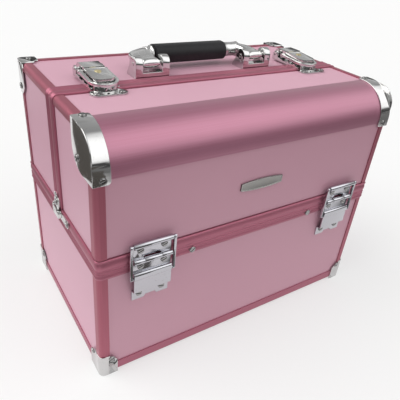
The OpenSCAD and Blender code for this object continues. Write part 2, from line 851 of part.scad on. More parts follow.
// Top sheet of a rear corner, laid over the frame's upper face.
module crown_top() {
    r = edge_r + corner_t;
    translate([0, 0, -corner_t]) linear_extrude(corner_t) {
        difference() {
            union() {
                translate([-corner_t + r, -corner_t]) square([crown_run - r + corner_t, leg_face + 4]);
                translate([-corner_t, -corner_t + r]) square([leg_face + 4, crown_run - r + corner_t]);
                translate([r - corner_t, r - corner_t]) circle(r);
                translate([r - corner_t, r - corner_t]) square(leg_face);
            }
            translate([leg_face + 4, leg_face + 4]) square(crown_run);
        }
    }
}

// Tongues on the rear lid's rim that drop into the catch plates' pockets.
module rear_lid_side_tongues() {
    x0 = hw + rim_proud;
    color(chrome) both_sides() {
        side_plate(x0, corner_t + 0.1) translate([tongue_y, base_h + 7]) rounded_rect(13, 12, 3);
        side_plate(x0, corner_t + 1) translate([tongue_y + 1.5, base_h + 14.5]) difference() {
            circle(3.4);
            circle(1.4);
        }
        side_plate(x0 + corner_t + 0.1, 1.1) translate([tongue_y, base_h + 2]) rounded_rect(11, 19, 3);
    }
}

module rear_lid_screws() {
    x_tongue = hw + rim_proud + corner_t + 1.2;
    color(chrome) both_sides() {
        for (x = [-12.5, 12.5])
            to_rear() front_screw(hinge_x + x, -hd - leaf_front, base_h + 1.9);
        side_screw(x_tongue, tongue_y, base_h + 6.5);
        top_screw(hw - crown_run + 8, hd - 6, case_h + corner_t);
        side_screw(hw + corner_t, hd - crown_run / 2, case_h - crown_h + 8);
    }
}

module rear_tray_studs() {
    color(chrome) both_sides() for (p = [rear_p1, rear_p2])
        stud(inner_x, tray_x + 0.4, tray_x - tray_t, pin_y - p, pin_z + p, 0);
}

// ---- Top latches: drawn at x = 0 and set out on both sides ----

module latch_at(side) {
    translate([side * latch_x, 0, 0]) children();
}

// Latch base: a stamped tray with a flange on each side and two ears for the lever's pin.
module latch_bases() {
    floor_t = 1.5;
    y0 = split_y + 1;
    y1 = latch_pin_y + 5;
    half = latch_w / 2;
    color(chrome) both_sides() latch_at(1) difference() {
        union() {
            translate([-half, y0, rim_top]) cube([latch_w, y1 - y0, floor_t]);
            translate([4 - half, rim_back + 1, top_face])
                cube([latch_w - 8, y1 - rim_back - 4, rim_top - top_face + eps]);
            for (s = [-1, 1]) translate([s * (half - 0.6) - 0.6, y0 + 5, rim_top])
                cube([1.2, y1 - y0 - 14, 3.6]);
            for (s = [-1, 1]) translate([s * (half - 0.8) - 0.8, latch_pin_y - 5, rim_top]) {
                cube([1.6, 10, latch_pin_h]);
                translate([0, 5, latch_pin_h]) rotate([0, 90, 0]) cylinder(r = 3.4, h = 1.6);
            }
        }
        bar_x(-half - 1, half + 1, latch_pin_y, latch_pin_z, 1.5);
        for (s = [-1, 1], y = [y0 + 9, y0 + 21]) translate([s * (half - 0.6) - 1, y, rim_top + 2.2])
            cube([2, 8, 4]);
    }
}

module latch_lever_pins() {
    color(chrome) both_sides() latch_at(1)
        bar_x(-latch_w / 2 - 0.4, latch_w / 2 + 0.4, latch_pin_y, latch_pin_z, 1.5);
}

// Lever: a rear plate rolled round the lever pin, a step down to the lock plate and a
// rounded thumb lip, with the lock barrel below it and the cross pin that carries the bail.
module latch_lever() {
    half = lever_w / 2;
    corner = 6.5;
    wall = 1.4;
    step_y = latch_pin_y - 17;
    front_d = step_y + corner - lever_tip_y;
    mid_y = lever_tip_y + front_d / 2;
    skirt_z = bail_z + 0.2;
    difference() {
        union() {
            translate([0, mid_y, skirt_z]) linear_extrude(lever_z + lever_t - skirt_z)
                rounded_rect(lever_w, front_d, corner);
            translate([-half, step_y, lever_z + 1]) cube([lever_w, latch_pin_y - step_y, lever_t]);
            translate([-half, latch_pin_y, latch_pin_z]) rotate([0, 90, 0])
                cylinder(r = lever_z + 1 + lever_t - latch_pin_z, h = lever_w);
            for (s = [-1, 1]) translate([s * (half - 1.2) - 1.2, bail_pin_y - 3.5, bail_z - 0.6])
                cube([2.4, 7, lever_z + lever_t - bail_z + 0.6]);
            bar_x(-bail_r - 0.6, bail_r + 0.6, bail_pin_y, bail_pin_z, 1.2);
        }
        difference() {
            translate([0, mid_y, skirt_z - 1]) linear_extrude(lever_z - skirt_z + 1)
                rounded_rect(lever_w - 2 * wall, front_d - 2 * wall, corner - wall);
            translate([0, key_y, rim_top]) cylinder(r = 6, h = 20);
        }
        translate([0, key_y, rim_top + 3.2]) cylinder(r = 3.4 + run_gap, h = 20);
        bar_x(-lever_w, lever_w, latch_pin_y, latch_pin_z, 1.5 + run_gap);
    }
    difference() {
        translate([0, key_y, rim_top + 2.2]) cylinder(r = 6, h = lever_z - rim_top - 2);
        translate([0, key_y, rim_top + 3.2]) cylinder(r = 3.4 + run_gap, h = 20);
    }
}

// Plug of the lock, with its keyway.
module key_plug() {
    difference() {
        translate([0, key_y, rim_top + 3.4]) cylinder(r = 3.4, h = lever_z + lever_t - rim_top - 3);
        translate([-2.4, key_y - 0.5, lever_z + lever_t - 4]) cube([4.8, 1, 8]);
    }
}

// Bail: a flat loop with a rounded front end and an eye on each side bar.
module latch_bail() {
    difference() {
        union() {
            translate([0, bail_y, bail_z]) cylinder(r = bail_r, h = bail_t);
            translate([-bail_r, bail_y, bail_z]) cube([bail_w, bail_pin_y - bail_y, bail_t]);
            bar_x(-bail_r, bail_r, bail_pin_y, bail_pin_z, 2.5);
        }
        translate([0, bail_y, bail_z - 1]) cylinder(r = bail_r - bail_bar, h = bail_t + 2);
        translate([bail_bar - bail_r, bail_y, bail_z - bail_t])
            cube([bail_w - 2 * bail_bar, bail_pin_y + bail_r - bail_y, 3 * bail_t]);
        bar_x(-bail_w, bail_w, bail_pin_y, bail_pin_z, 1.2 + run_gap);
    }
}

module left_latch_lever() {
    color(chrome) latch_at(-1) latch_lever();
}

module right_latch_lever() {
    color(chrome) latch_at(1) latch_lever();
}

module left_key_plug() {
    color(brass) latch_at(-1) key_plug();
}

module right_key_plug() {
    color(brass) latch_at(1) key_plug();
}

module left_latch_bail() {
    color(chrome) latch_at(-1) latch_bail();
}

module right_latch_bail() {
    color(chrome) latch_at(1) latch_bail();
}

// ---- Handle: it lies folded back on the rear lid ----

// Side view of a bracket's ear, from the lid's panel up to the pin.
module ear_outline() {
    r = 8;
    ramp = 6;
    translate([handle_y - r, top_face]) square([2 * r, handle_pin_h]);
    translate([handle_y, handle_z]) circle(r);
    polygon([[handle_y + r, top_face], [handle_y + r + ramp, top_face],
        [handle_y + r + ramp, top_face + 2.5], [handle_y + r, handle_z - 3]]);
}

// Bracket: two ears, a low front wall and a floor between them.
module handle_brackets() {
    half = bracket_w / 2;
    color(chrome) both_sides() translate([handle_x, 0, 0]) difference() {
        union() {
            side_plate(-half, ear_t) ear_outline();
            side_plate(half - ear_t, ear_t) ear_outline();
            translate([-half, handle_y - 8, top_face]) cube([bracket_w, 2.5, 6]);
            translate([-half, handle_y - 8, top_face]) cube([bracket_w, 22, 2.5]);
        }
        bar_x(-half - 1, half + 1, handle_y, handle_z, 2);
    }
}

module handle_pins() {
    half = bracket_w / 2;
    color(chrome) both_sides() translate([handle_x, 0, 0])
        bar_x(-half - 0.3, half + 0.3, handle_y, handle_z, 2);
}

// Cast arms: each widens from its knuckle to a broad elbow behind the bracket, then ends
// in a conical neck at the grip.
module handle_arms() {
    half = (bracket_w - 2 * ear_t - 3) / 2;
    neck_out = handle_x - half - 1.5;
    for (s = [0, 1]) mirror([s, 0, 0]) {
        neck = grip_l / 2 + (1 - 2 * s) * grip_off;
        color(chrome) difference() {
            union() {
                translate([handle_x, 0, 0]) bar_x(-half, half, handle_y, handle_z, knuckle_r);
                hull() {
                    translate([handle_x, 0, 0])
                        bar_x(-half, half, handle_y + 4.5, handle_z + 0.8, knuckle_r - 0.5, $fn = 32);
                    bar_x(neck_out, neck_out + 4, grip_y, grip_z, grip_t / 2 - 0.6, $fn = 40);
                    translate([handle_x, 0, 0])
                        bar_x(-half, half - 2.5, grip_y - 2, grip_z - 3.5, knuckle_r + 1, $fn = 32);
                }
                translate([neck, grip_y, grip_z]) rotate([0, 90, 0])
                    cylinder(r1 = grip_t / 2 - 0.8, r2 = grip_t / 2 - 3.6, h = neck_out - neck + 0.5);
            }
            bar_x(0, hw, handle_y, handle_z, 2 + run_gap);
        }
    }
}

// Grip: a padded oval bar with softened ends.
module handle_grip() {
    half = grip_l / 2 - grip_off;
    color(black) for (step = [0, 1, 2])
        side_plate(step - half, grip_l - 2 * step) translate([grip_y, grip_z])
            rounded_rect(grip_w - 3 + step * 1.5, grip_t - 3 + step * 1.5, (grip_t - 3 + step * 1.5) / 2 - 0.1);
}

// ---- Trays and arms ----

// An open tray with three compartments between y0 and y1 whose floor lies at z0. The lid
// pin and the arm pin pass through its end walls at lid_pin and arm_pin from y0.
module tray(y_range, z0, h, pin_h, lid_pin_y, arm_pin_y) {
    y0 = y_range[0];
    depth = y_range[1] - y0;
    cells = 3;
    cell_w = (2 * tray_x - (cells + 1) * tray_t) / cells;
    difference() {
        translate([-tray_x, y0, z0]) cube([2 * tray_x, depth, h]);
        for (i = [0:cells - 1])
            translate([tray_t - tray_x + i * (cell_w + tray_t), y0 + tray_t, z0 + tray_t])
                cube([cell_w, depth - 2 * tray_t, h]);
        for (s = [-1, 1]) {
            translate([s * (tray_x - 2), 0, 0])
                bar_x(-6, 6, lid_pin_y, z0 + pin_h, stud_r + run_gap);
            translate([s * (tray_x - 2), 0, 0])
                bar_x(-6, 6, arm_pin_y, z0 + pin_h, rivet_r + open_gap);
        }
    }
}

module front_tray(p) {
    color(black) tray(front_tray_y, pin_z + p - front_tray_pin, front_tray_h, front_tray_pin,
        p - pin_y, p + arm_pitch - pin_y);
}

module rear_tray(p) {
    color(black) tray(rear_tray_y, pin_z + p - rear_tray_pin, rear_tray_h, rear_tray_pin,
        pin_y - p, pin_y - p - arm_pitch);
}

module front_lower_tray() {
    front_tray(front_p1);
}

module front_upper_tray() {
    front_tray(front_p2);
}

module rear_lower_tray() {
    rear_tray(rear_p1);
}

module rear_upper_tray() {
    rear_tray(rear_p2);
}

// A flat arm on each side at 45 degrees from the base stud, with a rivet for each tray.
module tray_arms(p1, p2) {
    reach = p2 * sqrt(2);
    both_sides() {
        difference() {
            translate([0, arm_pitch - pin_y, pin_z]) rotate([45, 0, 0]) translate([arm_x, 0, 0]) {
                translate([0, 0, -arm_w / 2]) cube([arm_t, reach, arm_w]);
                rotate([0, 90, 0]) cylinder(r = arm_w / 2, h = arm_t);
                translate([0, reach, 0]) rotate([0, 90, 0]) cylinder(r = arm_w / 2, h = arm_t);
            }
            bar_x(0, hw, arm_pitch - pin_y, pin_z, stud_r + run_gap);
        }
        for (p = [p1, p2]) {
            bar_x(tray_x - tray_t, arm_x + arm_t, p + arm_pitch - pin_y, pin_z + p, rivet_r);
            bar_x(arm_x + arm_t / 2, arm_x + arm_t + 0.8, p + arm_pitch - pin_y, pin_z + p, 3.4);
        }
    }
}

module front_tray_arms() {
    color(chrome) tray_arms(front_p1, front_p2);
}

module rear_tray_arms() {
    color(chrome) to_rear() tray_arms(rear_p1, rear_p2);
}

base_front_panel();
base_rear_panel();
base_side_panels();
base_bottom_panel();
base_corner_posts();
base_bottom_frame();
base_rim();
base_lining();
base_corner_feet();
base_side_catches();
base_screws();
front_hinge_base_leaves();
rear_hinge_base_leaves();
arm_pivot_studs();
front_lid_front_panel();
front_lid_side_panels();
front_lid_top_panel();
front_lid_edge_frame();
front_lid_round_profile();
front_lid_corner_caps();
front_lid_badge();
latch_strikes();
front_lid_screws();
front_hinge_lid_leaves();
front_hinge_pins();
front_tray_studs();
rear_lid_back_panel();
rear_lid_side_panels();
rear_lid_top_panel();
rear_lid_edge_frame();
rear_lid_rim();
rear_lid_top_corners();
rear_lid_side_tongues();
rear_lid_screws();
rear_hinge_lid_leaves();
rear_hinge_pins();
rear_tray_studs();
latch_bases();
latch_lever_pins();
handle_brackets();
handle_pins();
handle_arms();
handle_grip();
left_latch_lever();
left_key_plug();
left_latch_bail();
right_latch_lever();
right_key_plug();
right_latch_bail();
front_hinge_stays();
rear_hinge_stays();
front_tray_arms();
rear_tray_arms();
front_lower_tray();
front_upper_tray();
rear_lower_tray();
rear_upper_tray();
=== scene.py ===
"""Looks of the make-up case: finishes for the solids of the frame, and the pieces that stand for
its chromed hardware, its screws and its handle."""

import json
import math

import bmesh
import bpy
import numpy as np
from mathutils import Matrix, Vector


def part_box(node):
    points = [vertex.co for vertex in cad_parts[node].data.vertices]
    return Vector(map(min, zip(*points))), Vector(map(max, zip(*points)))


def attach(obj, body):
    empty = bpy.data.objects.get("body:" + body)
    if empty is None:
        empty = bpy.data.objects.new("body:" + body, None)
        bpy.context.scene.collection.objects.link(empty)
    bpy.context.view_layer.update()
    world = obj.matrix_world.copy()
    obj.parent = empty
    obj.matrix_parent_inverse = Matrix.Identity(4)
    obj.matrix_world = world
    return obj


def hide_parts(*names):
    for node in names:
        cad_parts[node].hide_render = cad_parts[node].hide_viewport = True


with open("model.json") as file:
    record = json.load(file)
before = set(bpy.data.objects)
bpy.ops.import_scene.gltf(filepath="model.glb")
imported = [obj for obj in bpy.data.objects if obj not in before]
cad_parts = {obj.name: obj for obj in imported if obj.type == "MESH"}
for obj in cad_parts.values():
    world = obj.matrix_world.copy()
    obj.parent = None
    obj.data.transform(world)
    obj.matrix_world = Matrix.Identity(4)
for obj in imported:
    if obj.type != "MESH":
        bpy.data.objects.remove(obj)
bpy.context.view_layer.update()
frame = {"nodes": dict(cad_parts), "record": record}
NODES = frame["nodes"]
BODY = {name: body for body, names in frame["record"]["behaviour"]["bodies"].items()
        for name in names}
MM = 0.001

# Measures of the pieces made here and places that they take from the solids, in mm.
PIN_TO_BEND = 16            # from a lever's pin forward to where its closed latch starts to fall
LATCH_SLOPE = 0.078         # fall of a closed latch over its way in front of the bend
LEVER_FOOT_RISE = 1.7       # foot of a lever over the rim
STRIKE_PLATE_RISE = 1.8     # face of a strike's plate over its underside
AXLE_END_TO_ARM = 19.8      # from the end of the handle's axle in to the middle of an arm
ARM_HALF = 10               # half the width of an arm at its knuckle
GRIP_TRIM = 6.5             # cut off the right end of the grip's sleeve
GRIP_LEFT_TRIM = 1.2
KNUCKLE_RADIUS = 5
ELBOW_BEHIND = 32           # last full ring of an arm, behind the axle
ELBOW_END = 4               # length of the elbow's round end
SUPER_POWER = 2 / 3         # turns a circle into a rounded square, |x|^3 + |z|^3 = 1

(_, pin_low_y, _), (_, pin_high_y, _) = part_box("latch_lever_pins")
LATCH_BEND_Y = (pin_low_y + pin_high_y) / 2 / MM - PIN_TO_BEND
LATCH_FLOOR_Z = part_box("rear_lid_rim")[1][2] / MM + LEVER_FOOT_RISE
STRIKE_FACE_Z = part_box("latch_strikes")[0][2] / MM + STRIKE_PLATE_RISE
(_, axle_low_y, axle_low_z), (axle_end_x, axle_high_y, axle_high_z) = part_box("handle_pins")
HANDLE_Y = (axle_low_y + axle_high_y) / 2 / MM
HANDLE_Z = (axle_low_z + axle_high_z) / 2 / MM
HANDLE_X = axle_end_x / MM - AXLE_END_TO_ARM
(_, grip_low_y, grip_low_z), (_, grip_high_y, grip_high_z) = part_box("handle_grip")
GRIP_Y = (grip_low_y + grip_high_y) / 2 / MM
GRIP_Z = (grip_low_z + grip_high_z) / 2 / MM

# The solved camera: angles in degrees, distances in mm, focal length and photo width in pixels,
# sensor width in mm.
CAMERA_AZIMUTH, CAMERA_ELEVATION, CAMERA_ROLL = -35.40, 31.67, 5.85
CAMERA_AIM_HEIGHT, CAMERA_DISTANCE = 140, 566.5
CAMERA_SHIFT_ACROSS, CAMERA_SHIFT_UP = -1.8, -23.3
CAMERA_FOCAL_LENGTH, PHOTO_WIDTH, SENSOR_WIDTH = 449.56, 400, 36

KEY_FROM = (-0.64, 0.26, 0.72)
LOBE_FROM = (0.49, -0.49, 0.72)
LOBE_EDGE, LOBE_CORE, LOBE_LEVEL = math.radians(42), math.radians(16), 1.2
SKY_LEVELS = ((0.0, 0.12), (0.02, 0.06), (0.13, 0.09), (0.20, 0.55), (0.28, 0.72), (0.38, 0.48),
              (0.60, 0.50), (0.80, 0.40), (1.0, 0.34))      # height of a direction, brightness
SKY_BLUE = 1.01

# The stage, in metres.
FLOOR_REACH, BOUNCE_REACH, BOUNCE_DROP, CARD_RISE = 9, 6, 0.001, 0.001
BACKDROP_RADIUS, BACKDROP_FOOT, BACKDROP_TOP, BACKDROP_SIDES = 6, -0.01, 5.0, 64


# ---- Camera, floor and light ----

def place_camera():
    """Camera solved from the corners of the case.

    It looks down from the front left, slightly rolled."""
    azimuth, elevation, roll = (math.radians(angle) for angle in (
        CAMERA_AZIMUTH, CAMERA_ELEVATION, CAMERA_ROLL))
    back = Vector((math.sin(azimuth) * math.cos(elevation),
                   -math.cos(azimuth) * math.cos(elevation), math.sin(elevation)))
    right = (-back).cross(Vector((0, 0, 1))).normalized()
    up = right.cross(-back)
    across = math.cos(roll) * right + math.sin(roll) * up
    upward = -math.sin(roll) * right + math.cos(roll) * up
    spot = (Vector((0, 0, CAMERA_AIM_HEIGHT)) + back * CAMERA_DISTANCE
            + across * CAMERA_SHIFT_ACROSS + upward * CAMERA_SHIFT_UP)
    camera = bpy.data.objects.new("camera", bpy.data.cameras.new("camera"))
    camera.data.sensor_width = SENSOR_WIDTH
    camera.data.lens = CAMERA_FOCAL_LENGTH / PHOTO_WIDTH * SENSOR_WIDTH
    camera.data.clip_start, camera.data.clip_end = 0.02, 60
    camera.matrix_world = Matrix.Translation(spot * MM) @ Matrix(
        (across, upward, back)).transposed().to_4x4()
    bpy.context.scene.collection.objects.link(camera)
    bpy.context.scene.camera = camera


def place_key():
    """A wide soft key from the upper left behind the case."""
    key = bpy.data.lights.new("key", "SUN")
    key.energy, key.angle = 2.2, math.radians(60)
    key.color = (1.0, 0.985, 0.97)
    lamp = bpy.data.objects.new("key", key)
    lamp.rotation_euler = Vector(KEY_FROM).to_track_quat("Z", "Y").to_euler()
    bpy.context.scene.collection.objects.link(lamp)


# ---- Shader arithmetic ----

class Value:
    """A socket of a node web that takes part in Python arithmetic."""

    def __init__(self, web, socket):
        self.web, self.socket = web, socket

    def math(self, operation, first, second):
        return self.web.node("ShaderNodeMath", {"operation": operation}, {0: first, 1: second})

    def __add__(self, other):
        return self.math("ADD", self, other)

    def __sub__(self, other):
        return self.math("SUBTRACT", self, other)

    def __rsub__(self, other):
        return self.math("SUBTRACT", other, self)

    def __mul__(self, other):
        return self.math("MULTIPLY", self, other)

    __radd__ = __add__
    __rmul__ = __mul__

    def between(self, low, high):
        """0 below low, 1 above high, smooth in between."""
        return self.web.node("ShaderNodeMapRange", {"interpolation_type": "SMOOTHSTEP"},
                             {"Value": self, "From Min": low, "From Max": high})


class Web:
    """A cleared node tree, filled through one method."""

    def __init__(self, tree):
        self.tree = tree
        tree.nodes.clear()

    def node(self, kind, settings=None, inputs=None, out=0):
        """Adds a node, sets its settings, then fills its sockets with numbers or links."""
        node = self.tree.nodes.new(kind)
        for key, value in (settings or {}).items():
            if key == "stops":
                ramp = node.color_ramp.elements
                while len(ramp) < len(value):
                    ramp.new(0.5)
                for element, (spot, colour) in zip(ramp, value):
                    element.position, element.color = spot, colour
            else:
                setattr(node, key, value)
        for key, value in (inputs or {}).items():
            if isinstance(value, Value):
                self.tree.links.new(value.socket, node.inputs[key])
            else:
                node.inputs[key].default_value = value
        return node if out is None else Value(self, node.outputs[out])

    def split(self, vector):
        """The x, y and z of a vector."""
        parts = self.node("ShaderNodeSeparateXYZ", {}, {0: vector}, out=None)
        return [Value(self, socket) for socket in parts.outputs]


class Finish(Web):
    """One procedural material on object coordinates, in metres."""

    def __init__(self, name):
        self.material = bpy.data.materials.new(name)
        self.material.use_nodes = True
        super().__init__(self.material.node_tree)
        self.place = self.node("ShaderNodeTexCoord", out="Object")
        self.x, self.y, self.z = self.split(self.place)

    def point(self, x, y, z):
        return self.node("ShaderNodeCombineXYZ", {}, {0: x, 1: y, 2: z})

    def noise(self, where, scale, detail=3.0, rough=0.5):
        return self.node("ShaderNodeTexNoise", {}, {"Vector": where, "Scale": scale,
                                                    "Detail": detail, "Roughness": rough})

    def mix(self, factor, one, two):
        """Blend of two colours."""
        return self.node("ShaderNodeMix", {"data_type": "RGBA"}, {0: factor, 6: one, 7: two}, out=2)

    def bump(self, height, distance, strength):
        return self.node("ShaderNodeBump", {},
                         {"Height": height, "Distance": distance, "Strength": strength})

    def surface(self, **sockets):
        """Ends the material in one Principled shader with these sockets."""
        names = {key.replace("_", " ").title().replace("Ior", "IOR"): value
                 for key, value in sockets.items()}
        shader = self.node("ShaderNodeBsdfPrincipled", {}, names)
        self.node("ShaderNodeOutputMaterial", {}, {"Surface": shader}, out=None)
        return self.material


def rgb(r, g, b):
    return (r, g, b, 1.0)


# ---- Finishes ----

def blush_skin(name="blush_skin", depth=1.0):
    """Pale pink laminate of the panels: a very fine pebble and a slow drift in tone.

    A depth above 1 darkens it as painted shade, for panels turned away from the light; green and
    blue fall twice as fast as red."""
    f = Finish(name)
    red, rest = 1 / depth, 1 / depth ** 2
    pebble = f.noise(f.place, 1400, 2)
    drift = f.noise(f.place, 9, 2)
    tone = f.mix(drift, rgb(0.60 * red, 0.335 * rest, 0.425 * rest),
                 rgb(0.64 * red, 0.365 * rest, 0.455 * rest))
    grain = rgb(0.56 * red, 0.31 * rest, 0.39 * rest)
    return f.surface(base_color=f.mix(pebble * 0.25, tone, grain), ior=1.6,
                     roughness=0.40 + drift * 0.12,
                     normal=f.bump(pebble, 0.00008, 0.35))


def rose_metal(name, grain, coat, rough, lift=0.0):
    """Rose anodised aluminium. grain(f) gives the point that the drawing lines are read at.

    lift makes it paler, green and blue more than three times as much as red; a lift above 0 is a
    painted highlight, a white sheen put into the base colour, and below 0 it makes it darker and
    redder."""
    def rose(red, green, blue):
        return rgb(red * (1 + lift), green * (1 + 3 * lift), blue * (1 + 3.6 * lift))

    f = Finish(name)
    lines = f.noise(grain(f), 1.0, 3, 0.6)
    cloud = f.noise(f.place, 25, 2)
    tone = f.mix(lines, rose(0.38, 0.114, 0.160), rose(0.50, 0.182, 0.256))
    return f.surface(base_color=f.mix(cloud * 0.3, tone, rose(0.43, 0.144, 0.204)),
                     metallic=0.80, roughness=rough + lines * 0.10 + cloud * 0.05,
                     coat_weight=coat, coat_roughness=0.30, coat_ior=1.6,
                     normal=f.bump(lines, 0.00002, 0.4))


def nickel(name="bright_nickel", rough=0.05, tone=0.62, cool=0.99):
    """Bright nickel plate with faint polishing lines, wiped marks and pinpoint wear.

    cool is the share of blue to red and green."""
    f = Finish(name)
    wipe = f.noise(f.point(f.x * 60, f.y * 60, f.z * 240), 1.0, 3)
    spots = f.noise(f.place, 700, 2).between(0.62, 0.72)
    return f.surface(base_color=f.mix(spots * 0.25, rgb(tone, tone, tone * cool),
                                      rgb(tone * 0.6, tone * 0.57, tone * 0.53)),
                     metallic=1.0, roughness=rough + wipe * 0.08 + spots * 0.12,
                     normal=f.bump(wipe, 0.00003, 0.35))


def badge_plate(face_y):
    """Badge: a bright border at the face, and a darker field behind it, brushed across."""
    f = Finish("badge_plate")
    field = (f.y - face_y).between(0.0003, 0.0006)
    brushed = f.noise(f.point(f.x * 30, f.y * 30, f.z * 2600), 1.0, 3)
    dark = f.mix(brushed, rgb(0.08, 0.078, 0.066), rgb(0.14, 0.136, 0.12))
    return f.surface(base_color=f.mix(field, rgb(0.38, 0.375, 0.36), dark), metallic=1.0,
                     roughness=0.14 + field * 0.16, normal=f.bump(brushed * field, 0.00003, 0.5))


def worn_brass():
    """Brass of the key plugs, darker where it is worn."""
    f = Finish("worn_brass")
    wear = f.noise(f.place, 900, 3)
    return f.surface(base_color=f.mix(wear, rgb(0.56, 0.46, 0.22), rgb(0.80, 0.72, 0.46)),
                     metallic=1.0, roughness=0.25 + wear * 0.2, normal=f.bump(wear, 0.00004, 0.4))


def grip_skin():
    """Black padded skin of the grip, with a fine pebbled grain."""
    f = Finish("grip_skin")
    cells = f.node("ShaderNodeTexVoronoi", {"feature": "DISTANCE_TO_EDGE"},
                   {"Vector": f.place, "Scale": 900}, out="Distance")
    fold = f.noise(f.place, 160, 3)
    return f.surface(base_color=f.mix(fold, rgb(0.007, 0.007, 0.008), rgb(0.020, 0.0195, 0.022)),
                     roughness=0.42 + fold * 0.12, specular_ior_level=0.3,
                     normal=f.bump(cells.between(0.0, 0.25), 0.00012, 0.5))


def moulded_black():
    """Black moulded plastic with a spark-eroded texture."""
    f = Finish("moulded_black")
    spark = f.noise(f.place, 1600, 3)
    slow = f.noise(f.place, 30, 2)
    return f.surface(base_color=f.mix(slow, rgb(0.018, 0.018, 0.02), rgb(0.032, 0.031, 0.034)),
                     roughness=0.46 + spark * 0.12, normal=f.bump(spark, 0.00006, 0.5))


def black_pile():
    """Short black pile of the lining."""
    f = Finish("black_pile")
    nap = f.noise(f.place, 2600, 3, 0.7)
    wave = f.noise(f.place, 22, 2)
    return f.surface(base_color=f.mix(nap * 0.6 + wave * 0.3, rgb(0.012, 0.012, 0.014),
                                      rgb(0.055, 0.053, 0.058)),
                     roughness=0.95, normal=f.bump(nap, 0.0003, 0.8))


def brushed_steel():
    """Flat steel of the arms and studs, with lines along the slope of a folded arm."""
    f = Finish("brushed_steel")
    lines = f.noise(f.point(f.x * 900, (f.y - f.z) * 900, (f.y + f.z) * 20), 1.0, 3)
    return f.surface(base_color=f.mix(lines, rgb(0.42, 0.42, 0.43), rgb(0.60, 0.60, 0.61)),
                     metallic=1.0, roughness=0.28 + lines * 0.15,
                     normal=f.bump(lines, 0.00003, 0.5))


def black_board():
    """Black fibre board under the base."""
    f = Finish("black_board")
    fibre = f.noise(f.point(f.x * 300, f.y * 1300, f.z * 300), 1.0, 4)
    return f.surface(base_color=f.mix(fibre, rgb(0.016, 0.016, 0.017), rgb(0.045, 0.044, 0.046)),
                     roughness=0.7 + fibre * 0.15, normal=f.bump(fibre, 0.0001, 0.5))


def floor_paper():
    """Pale paper that the case stands on."""
    f = Finish("floor_paper")
    fine = f.noise(f.place, 220, 2)
    return f.surface(base_color=f.mix(fine, rgb(0.345, 0.347, 0.345), rgb(0.355, 0.357, 0.355)),
                     roughness=0.8, normal=f.bump(fine, 0.0001, 0.15),
                     emission_color=rgb(1.0, 1.0, 1.0), emission_strength=0.54)


def bounce_paper():
    """Paper that only throws light back: it darkens in front of the case and to its left."""
    f = Finish("bounce_paper")
    near = ((f.y * 0.6 - f.x * 0.3).between(-0.55, -0.2)
            * (f.x + f.y * 0.3).between(-0.75, -0.30))
    return f.surface(base_color=f.mix(near, rgb(0.10, 0.10, 0.10), rgb(0.50, 0.495, 0.50)),
                     roughness=0.8,
                     emission_color=f.mix(near, rgb(0.05, 0.05, 0.05), rgb(1.0, 0.99, 0.995)),
                     emission_strength=0.37)


def backdrop_paper():
    """Pale paper behind the case, which only shines."""
    f = Finish("backdrop_paper")
    return f.surface(base_color=rgb(0.0, 0.0, 0.0), roughness=1.0, specular_ior_level=0.0,
                     emission_color=f.mix(f.noise(f.place, 0.5, 1), rgb(0.975, 0.97, 0.975),
                                          rgb(0.985, 0.98, 0.985)), emission_strength=1.0)


def dark_card():
    """Dark card that only reflections see: painted dark reflections in the chrome and the rose
    metal.
    """
    f = Finish("dark_card")
    return f.surface(base_color=f.mix(f.noise(f.place, 3), rgb(0.05, 0.045, 0.04),
                                      rgb(0.08, 0.07, 0.06)), roughness=0.9)


def dress(finish, *names):
    """Gives CAD nodes a finish in all their material slots."""
    for name in names:
        mesh = NODES[name].data
        mesh.materials.clear()
        mesh.materials.append(finish)


def level_lines(f):
    """Lines round the case: only the height changes fast."""
    return f.point(f.x * 4, f.y * 4, f.z * 2600)


def lines_along_x(f):
    """Lines across the case: depth and height change fast."""
    return f.point(f.x * 4, f.y * 1800, f.z * 1800)


def arch_lines(f):
    """Lines along an arch that stands across the case: only the depth changes fast."""
    return f.point(f.x * 4, f.y * 2600, f.z * 4)


def post_lines(f):
    """Upright lines on the posts; above the top of the posts they follow the rails."""
    high = f.z.between(0.262, 0.270)
    return f.point(f.x * 1800, f.y * (1800 - high * 1796), f.z * (4 + high * 1796))


# ---- Making ----

def round_plate_corners(work, radius):
    """Rounds the corners of thin plates: the short square edges across a plate's thickness."""
    thickest, least_side = 2.2 * MM, 2.5 * MM
    across = [edge for edge in work.edges
              if edge.calc_length() < thickest and len(edge.link_faces) == 2
              and math.radians(70) < edge.calc_face_angle_signed(0) < math.radians(110)
              and min(max(side.calc_length() for side in face.edges)
                      for face in edge.link_faces) > least_side]
    bmesh.ops.bevel(work, geom=across, offset=radius * MM, segments=5, profile=0.5,
                    affect="EDGES", clamp_overlap=True)


def stand_for(name, mesh, finish, prefix):
    """Puts a mesh in the place of a CAD node: same body, one finish."""
    mesh.materials.clear()
    mesh.materials.append(finish)
    piece = bpy.data.objects.new(prefix + name, mesh)
    bpy.context.scene.collection.objects.link(piece)
    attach(piece, BODY[name])
    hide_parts(name)
    return piece


def round_edges(piece, width, segments):
    """Rounds a piece's sharp edges by width mm."""
    bevel = piece.modifiers.new("edges", "BEVEL")
    bevel.width, bevel.segments = width * MM, segments
    bevel.limit_method, bevel.angle_limit = "ANGLE", math.radians(35)
    bevel.harden_normals = True


